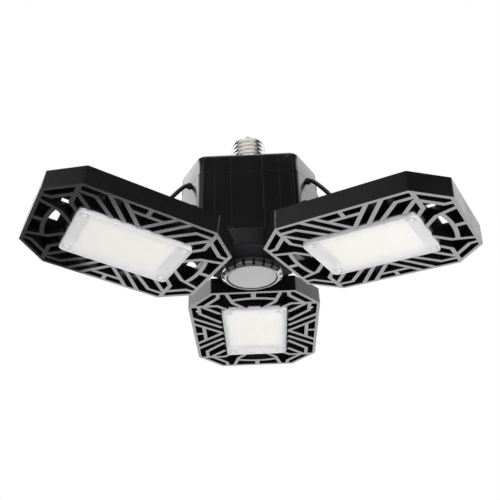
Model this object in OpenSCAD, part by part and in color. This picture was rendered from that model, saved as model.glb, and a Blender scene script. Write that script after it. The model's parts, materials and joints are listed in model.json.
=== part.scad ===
// Ceiling lamp with three LED panels that fold about a central driver housing.
// It screws into an E26 lampholder and hangs from it.
// Origin: tip of the centre contact of the lamp cap. +Z points up, into the lampholder.

/* [Lamp cap] */
// Crest diameter of the cap's screw thread
thread_d = 26.2; // [24:0.1:30]
// Radial depth of the thread
thread_depth = 0.9; // [0.4:0.1:1.2]
// Pitch of the thread, 7 turns to the inch
thread_pitch = 3.629; // [3:0.001:4.2]
// Length of the metal screw shell
shell_len = 19.5; // [17:0.5:24]
// Diameter of the opening inside the screw shell
shell_bore_d = 23.6; // [21.5:0.1:24.2]
// Plain skirt at the foot of the shell
skirt_h = 3.5; // [2:0.5:5]
// Height of the shell's rolled-in top edge
curl_h = 1.8; // [1:0.1:2.5]
// Width of that rolled-in edge
curl_w = 2.4; // [1.5:0.1:3]
// Height of the insulator above the shell
insulator_h = 4.5; // [3:0.5:7]
// Depth of the insulator inside the shell
insulator_foot_h = 4; // [3:0.5:6]
// Diameter of the centre contact
contact_d = 9; // [7:0.5:11]
// Height of the centre contact
contact_h = 3; // [2:0.5:4]
// Width of the slope round the contact's flat tip
contact_slope_w = 1.5; // [0.5:0.1:2.5]
// Diameter of the stem under the contact
stem_d = 4.5; // [3:0.5:6]
// Length of that stem
stem_h = 3; // [2:0.5:5]

/* [Cap collar] */
// Height of the cone between the cover and the screw shell
cone_h = 17; // [12:0.5:26]
// Diameter of the foot of the cone
cone_foot_d = 52; // [44:1:56]
// How far the head of the cone stands out past the shell
cone_lip = 0.9; // [0.5:0.1:2]
// Height of the stub that carries the screw shell
stub_h = 6; // [4:0.5:8]
// Diameter of the way through for the wires
wire_way_d = 14; // [10:1:18]

/* [Top cover] */
// Height of the cover from the parting line to its top face
cover_h = 16; // [12:0.5:20]
// Step between the cover's side and the housing's side
cover_step = 0.5; // [0.2:0.1:1.2]
// Radius of the round edge of the cover's top face
cover_round = 2; // [1:0.1:3]
// Height of the shadow gap along the parting line
seam_gap = 0.8; // [0.4:0.1:1.2]
// Depth of that gap
seam_depth = 0.8; // [0.4:0.1:1.2]
// Depth of the lip that locates the cover in the housing
lip_h = 3; // [2:0.5:5]
// Thickness of that lip
lip_t = 1.4; // [1:0.1:2]

/* [Driver housing] */
// Height of the housing from its floor to the parting line
housing_h = 45.5; // [40:0.5:60]
// Distance from the axis to the three wide ribbed faces
rib_face_r = 39; // [36:0.5:42]
// Distance from the axis to the three narrow faces that carry the panels
flat_face_r = 48.5; // [43:0.5:52]
// Wall thickness of the housing and the cover
wall = 2.4; // [1.8:0.1:3]
// Radius of the housing's upright corners
corner_r = 7.5; // [5:0.5:9]
// Width of one upright rib
rib_w = 2; // [1.2:0.1:3]
// Height of a rib above its face
rib_proud = 1; // [0.5:0.1:1.5]
// Spacing of the inner ribs, counted from the middle of the face
rib_pitch = 11; // [8:0.5:12]
// Distance of the outermost ribs from the face's corner
rib_edge = 3.5; // [3:0.5:6]
// How far the ribs end below the cover's top face
rib_drop = 3; // [2:0.5:5]
// Diameter of the posts that take the cover screws
post_d = 7; // [6:0.5:9]
// Distance of the board's standoffs from the axis
standoff_r = 20; // [17:0.5:22]
// Diameter of the standoffs
standoff_d = 6; // [5:0.5:8]

/* [Hub] */
// Diameter of the collar under the housing
collar_d = 38; // [34:0.5:42]
// Height of that collar
collar_h = 1.6; // [1:0.1:3]
// Diameter of the neck
neck_d = 34; // [31:0.5:36]
// Height of the straight neck
neck_h = 6; // [4:0.5:8]
// Height of the flared crown under the neck
crown_h = 7.4; // [6:0.1:9]
// Diameter of the crown and of its bezel
crown_d = 42.6; // [39:0.1:45]
// Number of slots round the crown
crown_slots = 19; // [12:1:24]
// Width of one slot
slot_w = 1.7; // [1:0.1:2.5]
// Height of the slots in the crown, above the bezel
slot_h = 2.7; // [1:0.1:3.5]
// Depth of the slots, from the crown's outside
slot_depth = 2.1; // [1:0.1:2.4]
// Height of the bright bezel ring
bezel_h = 2.3; // [2:0.1:3.5]
// Width of the bezel ring
bezel_w = 3.5; // [3:0.1:4]
// Width of the bezel's flat foot
bezel_foot_w = 0.8; // [0.5:0.1:1.2]
// Height of the slope between that foot and the bezel's outside
bezel_slope_h = 1.5; // [1:0.1:1.9]
// Width of the black sleeve between the bezel and the end disc
band_w = 0.5; // [0.4:0.1:1]
// How far that sleeve ends above the bezel's foot
band_up = 0.5; // [0.3:0.1:1]
// Gap round the end disc
disc_gap = 0.3; // [0.2:0.1:0.6]
// Thickness of the end disc
disc_h = 4; // [3:0.1:5]
// How far the end disc lies above the bezel's foot
disc_sink = 0.5; // [0.2:0.1:1]
// Distance of the hub's screws from the axis
hub_screw_r = 11; // [9:0.5:13]

/* [Panel] */
// Length of a panel, from its inner end to its outer end
panel_l = 122; // [112:1:150]
// Width of a panel
panel_w = 100; // [92:1:110]
// Height of the panel's side wall
panel_h = 13; // [11:0.5:16]
// Length of the cut corners along the panel
chamfer_l = 19.5; // [16:0.5:24]
// Width of the cut corners across the panel
chamfer_w = 19; // [16:0.5:22]
// Radius of the panel's upright edges
panel_corner_r = 1.8; // [1:0.1:3]
// Thickness of the side wall and of the rim round the grille
rim_w = 2.3; // [1.8:0.1:3]
// Width of the grille's bars
bar_w = 2.8; // [2:0.1:3.4]
// Depth of the grille's bars
bar_h = 6; // [4:0.5:8]
// Underside of the plate that carries the LED board, above the panel's face
tray_z = 3.5; // [3:0.1:4]
// Margin of that plate round the lens
tray_margin = 2; // [1:0.5:3]
// Thickness of the web that closes the grille from behind
web_plate_t = 1.2; // [1:0.1:2]
// Length of the opening near each end of that web, along the panel
vent_l = 8; // [5:0.5:9]
// Width of that opening, across the panel
vent_w = 14; // [8:1:20]
// Distance from the panel's end to the opening
vent_in = 9; // [7:0.5:12]
// Distance along the panel from its middle to the openings at its long sides
side_vent_u = 18; // [15:1:22]
// Length of those openings
side_vent_l = 16; // [10:1:20]
// Width of those openings
side_vent_w = 8; // [5:0.5:9]
// Distance from the panel's long side to those openings
side_vent_in = 4; // [4:0.5:6]
// Size of the two small square openings beside the outermost one
small_vent = 5; // [3:0.5:6]
// Distance of the small openings from the panel's end
small_vent_in = 16.3; // [14:0.1:18]
// Distance of the small openings from the panel's centre line
small_vent_v = 18.2; // [16:0.1:20]
// Number of cooling fins on the back of a panel
fins = 8; // [4:1:10]
// Thickness of one fin
fin_t = 1.6; // [1:0.1:2.4]
// How far the fins stay below the wall's top edge
fin_drop = 0.5; // [0:0.1:2]
// Width of the raised pad under the hinge
pad_w = 38; // [34:1:40]
// Reach of the pad from the hinge pin towards the axis
pad_in = 16; // [13:0.5:20]

/* [Lens] */
// Length of the lens cover
lens_l = 74; // [68:1:80]
// Width of the lens cover
lens_w = 50; // [46:1:54]
// Radius of the lens cover's corners
lens_corner_r = 4; // [2:0.5:6]
// How far the lens stands out of the grille
lens_proud = 1.5; // [0.5:0.1:2.5]
// Thickness of the lens
lens_t = 1.2; // [0.8:0.1:1.6]
// Gap round the lens where the grille's bars end
lens_gap = 0.3; // [0.2:0.1:0.6]
// Thickness of the wall that stands round the lens
well_t = 1.4; // [1:0.1:1.8]
// How far that wall stays above the panel's face
well_down = 1.5; // [1:0.1:2.5]
// Distance of a lens screw from the two nearest edges
lens_screw_inset = 4.5; // [4:0.1:6]
// Diameter of the boss round a lens screw
lens_boss_d = 6.8; // [6:0.1:8]
// Diameter of a lens screw's head
lens_head_d = 4; // [3.4:0.1:5]
// Height of that head
lens_head_h = 1; // [0.6:0.1:1.6]
// Depth of the recess that takes the head
lens_sink = 0.7; // [0.4:0.1:1]
// Width of the head's slot
lens_slot_w = 0.5; // [0.3:0.1:0.8]
// Margin of the LED board inside the lens, along it
board_margin_l = 9; // [8.5:0.5:12]
// Margin of the LED board inside the lens, across it
board_margin_w = 3; // [2:0.5:5]
// Thickness of the LED board
led_board_t = 1.2; // [0.8:0.1:1.6]
// LEDs along the board
led_cols = 7; // [3:1:8]
// LEDs across the board
led_rows = 5; // [2:1:5]
// Edge length of one LED
led_size = 3.2; // [2:0.1:4]
// Height of one LED
led_h = 0.8; // [0.4:0.1:1]

/* [Hinges] */
// Distance from the housing's narrow face to the hinge pin
pivot_out = 13.5; // [12:0.5:18]
// Distance from the panel's inner end to the hinge pin
pivot_u = 33.6; // [30:0.1:36]
// Height of the hinge pin above the panel's underside
pivot_h = 20; // [19:0.5:24]
// Height of the hinge pin above the housing's underside
pivot_above_floor = 1; // [0:0.5:4]
// Diameter of the hinge bolt
bolt_d = 4; // [3:0.5:5]
// Running clearance of the bolt, on the radius
bolt_clear = 0.05; // [0.02:0.01:0.1]
// Diameter of the bolt's head
bolt_head_d = 7.2; // [6:0.2:8.4]
// Height of the bolt's head
bolt_head_h = 3; // [2:0.2:4]
// Size of the bolt's nut, across its corners
nut_d = 8; // [7:0.2:9]
// Height of the nut
nut_h = 3.2; // [2.4:0.2:4]
// Width of the housing's knuckle
knuckle_w = 24; // [18:1:26]
// Diameter of the knuckle and of the ears
knuckle_d = 9.4; // [8:0.2:10]
// Height of the arm that carries the knuckle
arm_h = 7.4; // [6:0.2:8]
// Thickness of the block's plate on the housing
block_t = 3; // [2:0.5:4]
// Width of that plate
block_w = 25; // [24:0.5:28]
// Height of that plate
block_h = 22; // [18:1:30]
// Thickness of the webs over the arm
web_t = 3; // [2:0.5:4]
// Length of the webs along the arm
web_l = 6; // [4:0.5:8]
// Height of the webs
web_h = 7; // [4:0.5:9]
// Distance of the block's screws from its middle
block_screw_v = 9; // [7:0.5:9.5]
// Height of those screws above the hinge pin
block_screw_z = 14; // [12:0.5:17]
// Thickness of a friction washer
washer_t = 1; // [0.5:0.1:1.5]
// Thickness of one ear of the panel's bracket
ear_t = 3; // [2:0.5:4]
// How much wider an ear is at its foot, on the side towards the axis
ear_flare = 1.5; // [0.5:0.1:3]
// Thickness of the bracket's plate
bracket_t = 2; // [1.5:0.5:3]
// Reach of the bracket's plate from the pin towards the axis
bracket_in = 12; // [10:0.5:14]
// Reach of the bracket's plate from the pin away from the axis
bracket_out = 6; // [5:0.5:6]
// Distance of the bracket's screws from the plate's inner edge
bracket_screw_x = 3.2; // [2.8:0.1:4]
// Distance of the bracket's screws from the plate's ends
bracket_screw_y = 6; // [5:0.5:8]
// Tilt of the back panel at rest, outer end up
tilt_back = -6.5; // [-8:0.5:20]
// Tilt of the left panel at rest, outer end up
tilt_left = 7.5; // [-8:0.5:20]
// Tilt of the right panel at rest, outer end up
tilt_right = -3; // [-8:0.5:20]

/* [Leads] */
// Diameter of the lead to each panel
lead_d = 3; // [2:0.1:3.4]
// Clearance round the lead in its grommet and gland, on the radius
lead_clear = 0.15; // [0.1:0.05:0.3]
// Diameter of the glands
gland_d = 7; // [6:0.5:7]
// Height of a gland above the panel's pad
gland_h = 5; // [4:0.5:8]
// Height of a gland's hexagonal foot
gland_foot_h = 1.6; // [1:0.1:3]
// Distance from the hinge pin to the gland, away from the axis
gland_out = 10; // [10:0.5:14]
// Diameter of a grommet's flange
grommet_d = 5.2; // [4.8:0.1:6]
// How far that flange stands out round its hole
grommet_lip = 0.4; // [0.2:0.1:0.6]
// Thickness of a grommet's flange
grommet_flange_t = 1.5; // [1:0.1:3]
// Length of a grommet behind the housing's wall
grommet_tail = 1.2; // [0.5:0.1:2]
// Diameter of the two wires from the cap
wire_d = 1.4; // [1:0.1:2]

/* [Driver] */
// Diameter of the driver board
board_d = 54; // [46:1:56]
// Thickness of the driver board
board_t = 1.6; // [1:0.1:2]
// Height of the driver board above the housing's floor
board_up = 9; // [7:0.5:12]
// Diameter of the two capacitors
capacitor_d = 10; // [8:0.5:11]
// Height of the capacitors
capacitor_h = 18; // [12:1:22]
// Length of the transformer's core
core_l = 20; // [14:1:22]
// Width of each half of the core
core_w = 5; // [3:0.5:6]
// Height of the core
core_h = 15; // [10:1:18]
// Width of the winding between the halves
winding_w = 3; // [2:0.5:5]

/* [Fasteners] */
// Diameter of the larger screws
screw_d = 3; // [2.5:0.5:4]
// Diameter of their heads
screw_head_d = 5.8; // [5:0.1:6.4]
// Height of their heads
screw_head_h = 1.8; // [1:0.1:2.4]
// Diameter of the smaller screws
small_screw_d = 2.5; // [2:0.1:3]
// Diameter of the smaller screws' heads
small_head_d = 4.6; // [4:0.1:5]
// Height of the smaller screws' heads
small_head_h = 1.3; // [0.8:0.1:1.6]
// Length of the cover screws' hold in the posts
post_hold = 10; // [6:0.5:14]
// Length of the board screws' and hub screws' hold
screw_hold = 5; // [4:0.5:6]
// Length of the bracket screws' hold in the panel
plate_hold = 3.5; // [2:0.5:4]
// Room left beyond a screw's tip
screw_spare = 1.5; // [1:0.1:2]

/* [Fits] */
// Clearance of parts that are pressed or screwed together, on the radius
fit = 0.05; // [0.02:0.01:0.1]
// Clearance between the screw shell and what it holds, on the radius
shell_fit = 0.15; // [0.1:0.01:0.3]
// Clearance of a screw in a hole it passes through, on the radius
screw_free = 0.15; // [0.1:0.01:0.3]
// Clearance of the cover's lip round the posts
post_play = 0.3; // [0.2:0.1:0.6]
// Small slope that breaks an edge
edge = 0.4; // [0.2:0.1:0.8]

/* [Hidden] */
$fn = 48;

// Levels, counted down from the tip of the centre contact
contact_foot = -contact_h;
shell_top = contact_foot - insulator_h;
shell_foot = shell_top - shell_len;
cover_top = shell_foot - cone_h;
seam_z = cover_top - cover_h;
floor_z = seam_z - housing_h;
pivot_z = floor_z + pivot_above_floor;
board_z = floor_z + wall + board_up;
board_top = board_z + board_t;
crown_top = floor_z - collar_h - neck_h;
bezel_top = crown_top - crown_h;
bezel_foot = bezel_top - bezel_h;
disc_foot = bezel_foot + disc_sink;

// Distances from the axis
crest_r = thread_d / 2;
bore_r = shell_bore_d / 2;
pivot_r = flat_face_r + pivot_out;
post_r = rib_face_r - wall - post_d / 2 + edge;
grommet_r = grommet_d / 2 - grommet_lip;
bezel_in_r = crown_d / 2 - bezel_w;
disc_r = bezel_in_r - band_w - disc_gap;

// Places of the ribs, from the middle of their face
face_half = (flat_face_r - rib_face_r * cos(60)) / sin(60);
rib_places = [rib_pitch, 2 * rib_pitch, face_half - rib_edge];

// Directions of the three panels and of the three ribbed faces
az_back = 90;
az_left = 210;
az_right = 330;
PANEL_AZ = [az_back, az_left, az_right];
RIB_AZ = [30, 150, 270];

// Overlap inside a union, and reach of a cutter past what it cuts
eps = 0.01;
over = 1;

// ---------- plane geometry ----------
function unit(v) = v / norm(v);
function across(v) = [-v[1], v[0]];
function edge_normal(a, b) = [b[1] - a[1], a[0] - b[0]] / norm(b - a);
function n_before(p, i) = edge_normal(p[(i + len(p) - 1) % len(p)], p[i]);
function n_after(p, i) = edge_normal(p[i], p[(i + 1) % len(p)]);
function inset_point(p, i, d) = let (a = n_before(p, i), b = n_after(p, i)) p[i] - d * (a + b) / (1 + a * b);
function inset(p, d) = [for (i = [0 : len(p) - 1]) inset_point(p, i, d)];

// A convex outline, given anticlockwise, with round corners
module rounded(p, r) {
    polygon([for (i = [0 : len(p) - 1]) each
        [inset_point(p, i, r) + r * n_before(p, i), inset_point(p, i, r) + r * n_after(p, i)]]);
    for (i = [0 : len(p) - 1])
        translate(inset_point(p, i, r))
            circle(r);
}

// Crossing of two faces at right angles to the directions a and b, at the distances da and db
function crossing(a, da, b, db) =
    [da * sin(b) - db * sin(a), db * cos(a) - da * cos(b)] / sin(b - a);
function hexagon(rib_r, flat_r) = [for (i = [0 : 5])
    let (even = i % 2 == 0)
    crossing(30 + 60 * i, even ? rib_r : flat_r, 90 + 60 * i, even ? flat_r : rib_r)];

// Outline of the housing, drawn in by d
module housing_outline(d = 0) {
    rounded(inset(hexagon(rib_face_r, flat_face_r), d), corner_r - min(d, corner_r * 0.8));
}

module ribs_outline(d = 0) {
    for (a = RIB_AZ, x = rib_places, side = [-1, 1])
        rotate(a)
            translate([rib_face_r - wall / 2, side * x - rib_w / 2])
                square([wall / 2 + rib_proud - d, rib_w]);
}

// ---------- fasteners ----------
// A screw along Z: its head stands on z = 0 and its shank reaches down
module screw(d, head_d, head_h, reach) {
    difference() {
        cylinder(h = head_h, d1 = head_d, d2 = head_d * 0.82);
        translate([0, 0, head_h / 2])
            cylinder(h = head_h, d = head_d / 2, $fn = 6);
    }
    translate([0, 0, -reach])
        cylinder(h = reach + eps, d = d);
}

module large_screw(reach) {
    screw(screw_d, screw_head_d, screw_head_h, reach);
}

module small_screw(reach) {
    screw(small_screw_d, small_head_d, small_head_h, reach);
}

// A hole down from z = 0 for a screw that holds in it, and one that lets the screw pass
module held_hole(d, depth) {
    translate([0, 0, -depth])
        cylinder(h = depth + over, d = d + 2 * fit);
}

module free_hole(d, depth) {
    translate([0, 0, -depth - over])
        cylinder(h = depth + 2 * over, d = d + 2 * screw_free);
}

// ---------- lamp cap ----------
thread_steps = 32;
thread_slices = 6;
thread_len = shell_len - skirt_h - curl_h;
shell_rings = round(thread_len / thread_pitch * thread_slices);

function polar(r, a, z) = [r * cos(a), r * sin(a), z];
function thread_fade(t) = min(1, t * 6, (1 - t) * 6);
function thread_r(t, a) =
    crest_r - thread_depth / 2 * thread_fade(t) * (1 - cos(360 * t * thread_len / thread_pitch - a));
function ring_at(r, z) = [for (k = [0 : thread_steps - 1]) polar(r, k * 360 / thread_steps, z)];
function thread_ring(t) = [for (k = [0 : thread_steps - 1]) let (a = k * 360 / thread_steps)
    polar(thread_r(t, a), a, shell_foot + skirt_h + t * thread_len)];

// A closed skin over rings of points: the last ring joins the first
module ring_skin(rings) {
    n = len(rings[0]);
    m = len(rings);
    pts = [for (ring = rings) each ring];
    faces = [for (j = [0 : m - 1], k = [0 : n - 1]) each [
        [j * n + k, ((j + 1) % m) * n + k, j * n + (k + 1) % n],
        [j * n + (k + 1) % n, ((j + 1) % m) * n + k, ((j + 1) % m) * n + (k + 1) % n]]];
    polyhedron(pts, faces);
}

module screw_shell() {
    color("gainsboro")
        ring_skin(concat(
            [ring_at(bore_r, shell_foot)],
            [ring_at(crest_r, shell_foot)],
            [for (j = [0 : shell_rings]) thread_ring(j / shell_rings)],
            [ring_at(crest_r - thread_depth, shell_top - curl_h / 3)],
            [ring_at(bore_r - curl_w * 2 / 3, shell_top)],
            [ring_at(bore_r - curl_w, shell_top)],
            [ring_at(bore_r - curl_w, shell_top - curl_h / 4)],
            [ring_at(bore_r, shell_top - curl_h)]));
}

module cap_insulator() {
    spigot_r = bore_r - curl_w - shell_fit;
    color("dimgray")
        difference() {
            union() {
                translate([0, 0, shell_top])
                    cylinder(h = insulator_h, r1 = spigot_r, r2 = contact_d / 2 + thread_depth);
                translate([0, 0, shell_top - insulator_foot_h])
                    cylinder(h = insulator_foot_h + eps, r = spigot_r);
                translate([0, 0, shell_top - insulator_foot_h])
                    cylinder(h = insulator_foot_h - curl_h, r = bore_r - shell_fit);
            }
            translate([0, 0, shell_top - insulator_foot_h - over])
                cylinder(h = insulator_h + insulator_foot_h + 2 * over, r = stem_d / 2 + fit);
        }
}

module centre_contact() {
    color("silver")
        rotate_extrude()
            polygon([[0, 0], [contact_d / 2 - contact_slope_w, 0], [contact_d / 2, contact_foot / 2],
                [contact_d / 2, contact_foot], [stem_d / 2, contact_foot],
                [stem_d / 2, contact_foot - stem_h], [0, contact_foot - stem_h]]);
}

// ---------- cone between the cap and the cover ----------
module cap_collar() {
    head_r = crest_r + cone_lip;
    way_r = wire_way_d / 2;
    color("#18181a")
        rotate_extrude()
            polygon([[way_r, cover_top - wall], [way_r + wall, cover_top - wall],
                [way_r + wall, shell_foot - 2 * wall], [head_r - wall, shell_foot - 2 * wall],
                [cone_foot_d / 2 - wall, cover_top], [cone_foot_d / 2, cover_top],
                [head_r, shell_foot], [bore_r - shell_fit, shell_foot],
                [bore_r - shell_fit, shell_foot + stub_h], [way_r, shell_foot + stub_h]]);
}

// ---------- top cover ----------
module seam_holes() {
    for (a = PANEL_AZ)
        rotate(a)
            translate([flat_face_r - 3 * wall, 0, seam_z])
                rotate([0, 90, 0])
                    cylinder(h = 5 * wall, r = grommet_r + fit);
}

// The cover's top edge is rounded off in steps: how far each one is drawn in, and how high it ends
rim_steps = 3;
function rim_in(k) = cover_round * (1 - cos(90 * k / rim_steps));
function rim_up(k) = cover_round * sin(90 * k / rim_steps);

module top_cover() {
    lip_in = wall + fit;
    color("#18181a")
        difference() {
            union() {
                translate([0, 0, seam_z])
                    linear_extrude(seam_gap + eps)
                        housing_outline(cover_step + seam_depth);
                translate([0, 0, seam_z + seam_gap]) {
                    linear_extrude(cover_h - seam_gap - cover_round)
                        housing_outline(cover_step);
                    linear_extrude(cover_h - seam_gap - rib_drop)
                        ribs_outline(cover_step);
                }
                for (k = [1 : rim_steps])
                    translate([0, 0, cover_top - cover_round + rim_up(k - 1) - eps])
                        linear_extrude(rim_up(k) - rim_up(k - 1) + eps)
                            housing_outline(cover_step + rim_in(k));
                translate([0, 0, seam_z - lip_h])
                    linear_extrude(lip_h + cover_h / 2)
                        housing_outline(lip_in);
            }
            translate([0, 0, seam_z - lip_h - eps])
                linear_extrude(lip_h + cover_h - wall)
                    housing_outline(lip_in + lip_t);
            translate([0, 0, cover_top - wall - over])
                cylinder(h = wall + 2 * over, r = wire_way_d / 2 + wall + fit);
            seam_holes();
            for (a = RIB_AZ)
                rotate(a)
                    translate([post_r, 0, cover_top]) {
                        free_hole(screw_d, cover_h + lip_h);
                        translate([0, 0, -cover_h - lip_h - over])
                            cylinder(h = lip_h + over, d = post_d + 2 * post_play);
                    }
        }
}

module cover_screws() {
    color("darkgray")
        for (a = RIB_AZ)
            rotate(a)
                translate([post_r, 0, cover_top])
                    large_screw(cover_h + post_hold);
}

// ---------- driver housing ----------
module driver_housing() {
    color("#141416")
        difference() {
            union() {
                difference() {
                    translate([0, 0, floor_z])
                        linear_extrude(housing_h) {
                            housing_outline();
                            ribs_outline();
                        }
                    translate([0, 0, floor_z + wall])
                        linear_extrude(housing_h)
                            housing_outline(wall);
                }
                for (a = RIB_AZ)
                    rotate(a) {
                        translate([post_r, 0, floor_z + wall - eps])
                            cylinder(h = housing_h - wall, d = post_d);
                        translate([standoff_r, 0, floor_z + wall - eps])
                            cylinder(h = board_up + eps, d = standoff_d);
                    }
            }
            seam_holes();
            for (a = RIB_AZ)
                rotate(a) {
                    translate([post_r, 0, seam_z])
                        held_hole(screw_d, post_hold + screw_spare);
                    translate([standoff_r, 0, board_z])
                        held_hole(small_screw_d, screw_hold + screw_spare);
                    translate([hub_screw_r, 0, floor_z + wall])
                        free_hole(screw_d, wall);
                }
            for (a = PANEL_AZ)
                rotate(a)
                    translate([flat_face_r, 0, pivot_z + block_screw_z])
                        at_block_screws()
                            held_hole(screw_d, wall + over);
        }
}

module lead_grommets() {
    color("#0c0c0c")
        for (a = PANEL_AZ)
            rotate(a)
                translate([flat_face_r, 0, seam_z])
                    rotate([0, 90, 0])
                        difference() {
                            union() {
                                translate([0, 0, -wall - grommet_tail])
                                    cylinder(h = wall + grommet_tail + eps, r = grommet_r);
                                cylinder(h = grommet_flange_t, r1 = grommet_d / 2,
                                    r2 = grommet_r - grommet_lip / 2);
                            }
                            translate([0, 0, -wall - grommet_tail - over])
                                cylinder(h = wall + grommet_tail + grommet_flange_t + 2 * over,
                                    r = lead_d / 2 + lead_clear);
                        }
}

// ---------- driver ----------
// The parts on the board are placed in steps of a fiftieth of its diameter
step = board_d / 50;
BOARD_PARTS = [[9.7, -5.6, 7.4, 5.6, 3.7], [-17.6, -3.7, 6.5, 8.3, 2.8], [8.8, 1.9, 5.6, 4.6, 8.3]];

module driver_board() {
    color("darkgreen")
        difference() {
            translate([0, 0, board_z])
                cylinder(h = board_t, d = board_d);
            for (a = RIB_AZ)
                rotate(a)
                    translate([standoff_r, 0, board_top])
                        free_hole(small_screw_d, board_t);
        }
}

module board_screws() {
    color("silver")
        for (a = RIB_AZ)
            rotate(a)
                translate([standoff_r, 0, board_top])
                    small_screw(board_t + screw_hold);
}

module transformer() {
    translate([-1.8 * step, 2.8 * step, board_top]) {
        color("#3a3026")
            for (y = [-winding_w / 2 - core_w, winding_w / 2])
                translate([-core_l / 2, y, 0])
                    cube([core_l, core_w, core_h]);
        color("goldenrod")
            translate([-core_l * 0.35, -winding_w / 2, core_h * 0.13])
                cube([core_l * 0.7, winding_w, core_h * 0.8]);
    }
}

module capacitors() {
    r = capacitor_d / 2;
    color("#20242c")
        for (side = [-1, 1])
            translate([side * (r + step), -board_d / 4, board_top])
                rotate_extrude()
                    polygon([[0, 0], [r, 0], [r, capacitor_h - edge], [r - edge, capacitor_h],
                        [0, capacitor_h]]);
}

module board_parts() {
    color("#262626")
        for (p = BOARD_PARTS)
            translate([p[0] * step, p[1] * step, board_top])
                cube([p[2] * step, p[3] * step, p[4] * step]);
}

// ---------- hub ----------
module crown_slots_cut() {
    for (i = [0 : crown_slots - 1])
        rotate((i + 0.5) * 360 / crown_slots)
            translate([crown_d / 2 - slot_depth, -slot_w / 2, bezel_foot - over])
                cube([bezel_w, slot_w, slot_h + bezel_h + over]);
}

module hub_neck() {
    rim_r = crown_d / 2 - edge / 2;
    band_foot = bezel_foot + band_up;
    color("#161618")
        difference() {
            rotate_extrude()
                polygon([[0, floor_z], [collar_d / 2, floor_z],
                    [collar_d / 2, floor_z - collar_h + edge], [collar_d / 2 - edge, floor_z - collar_h],
                    [neck_d / 2, floor_z - collar_h],
                    [neck_d / 2, crown_top], [neck_d / 2 + crown_h * 0.19, crown_top - crown_h * 0.3],
                    [rim_r, bezel_top + crown_h * 0.43], [rim_r, bezel_top],
                    [bezel_in_r - fit, bezel_top], [bezel_in_r - fit, band_foot],
                    [disc_r + disc_gap, band_foot], [disc_r + disc_gap, disc_foot + disc_h],
                    [0, disc_foot + disc_h]]);
            crown_slots_cut();
            for (a = RIB_AZ)
                rotate(a)
                    translate([hub_screw_r, 0, floor_z])
                        held_hole(screw_d, screw_hold + screw_spare);
        }
}

module bezel_ring() {
    color("silver")
        difference() {
            rotate_extrude()
                polygon([[bezel_in_r, bezel_foot], [bezel_in_r + bezel_foot_w, bezel_foot],
                    [crown_d / 2, bezel_foot + bezel_slope_h], [crown_d / 2, bezel_top],
                    [bezel_in_r, bezel_top]]);
            crown_slots_cut();
        }
}

module end_disc() {
    color("lightgray")
        rotate_extrude()
            polygon([[0, disc_foot], [disc_r - edge, disc_foot], [disc_r, disc_foot + edge],
                [disc_r, disc_foot + disc_h], [0, disc_foot + disc_h]]);
}

module hub_screws() {
    color("silver")
        for (a = RIB_AZ)
            rotate(a)
                translate([hub_screw_r, 0, floor_z + wall])
                    large_screw(wall + screw_hold);
}

// ---------- hinge, housing side ----------
// The two screws of a hinge block, pointing out of the housing's narrow face
module at_block_screws() {
    for (side = [-1, 1])
        translate([0, side * block_screw_v, 0])
            rotate([0, 90, 0])
                children();
}

module hinge_block(az) {
    color("#1a1a1c")
        rotate(az)
            difference() {
                union() {
                    translate([flat_face_r, -block_w / 2, pivot_z - pivot_above_floor])
                        cube([block_t, block_w, block_h]);
                    translate([flat_face_r, -knuckle_w / 2, pivot_z - arm_h / 2])
                        cube([pivot_out, knuckle_w, arm_h]);
                    translate([pivot_r, knuckle_w / 2, pivot_z])
                        rotate([90, 0, 0])
                            cylinder(h = knuckle_w, d = knuckle_d);
                    for (y = [web_t - knuckle_w / 2, knuckle_w / 2])
                        translate([flat_face_r + block_t - eps, y, pivot_z + arm_h / 2 - eps])
                            rotate([90, 0, 0])
                                linear_extrude(web_t)
                                    polygon([[0, 0], [web_l, 0], [0, web_h]]);
                }
                translate([pivot_r, knuckle_w / 2 + over, pivot_z])
                    rotate([90, 0, 0])
                        cylinder(h = knuckle_w + 2 * over, r = bolt_d / 2 + bolt_clear);
                translate([flat_face_r + block_t, 0, pivot_z + block_screw_z])
                    at_block_screws()
                        free_hole(screw_d, block_t);
            }
}

module block_screws() {
    color("silver")
        for (a = PANEL_AZ)
            rotate(a)
                translate([flat_face_r + block_t, 0, pivot_z + block_screw_z])
                    at_block_screws()
                        large_screw(block_t + wall + screw_spare);
}

// ---------- panel ----------
// Every panel piece is drawn in the panel's own frame: the hinge pin is the origin, X runs
// outwards along the panel, Y across it and Z away from its lit face.
module on_panel(az, tilt) {
    rotate(az)
        translate([pivot_r, 0, pivot_z])
            rotate([0, -tilt, 0])
                children();
}

face_z = -pivot_h;
mid_u = panel_l / 2 - pivot_u;
half_l = panel_l / 2;
half_w = panel_w / 2;
pad_h = panel_h - bracket_t;
tray_l = lens_l + 2 * tray_margin;
tray_w = lens_w + 2 * tray_margin;
led_board_l = lens_l - 2 * board_margin_l;
led_board_w = lens_w - 2 * board_margin_w;

PANEL_OUTLINE = [[half_l, chamfer_w - half_w], [half_l, half_w - chamfer_w], [half_l - chamfer_l, half_w],
    [chamfer_l - half_l, half_w], [-half_l, half_w - chamfer_w], [-half_l, chamfer_w - half_w],
    [chamfer_l - half_l, -half_w], [half_l - chamfer_l, -half_w]];

// The grille repeats in four mirrored quarters. Points are [distance from the panel's
// mid-length, distance from its centre line], placed in hundredths of the panel's width.
g = panel_w / 100;
corner_a = half_l - chamfer_l + g;
node_b = half_w - 10 * g;
window_a = half_l - 9.3 * g;
slope_run = 0.75;
lens_a = lens_l / 2 - g / 2;
lens_b = lens_w / 2 + 1.5 * g;
long_run = slope_run * (half_w - g - lens_b);

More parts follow.
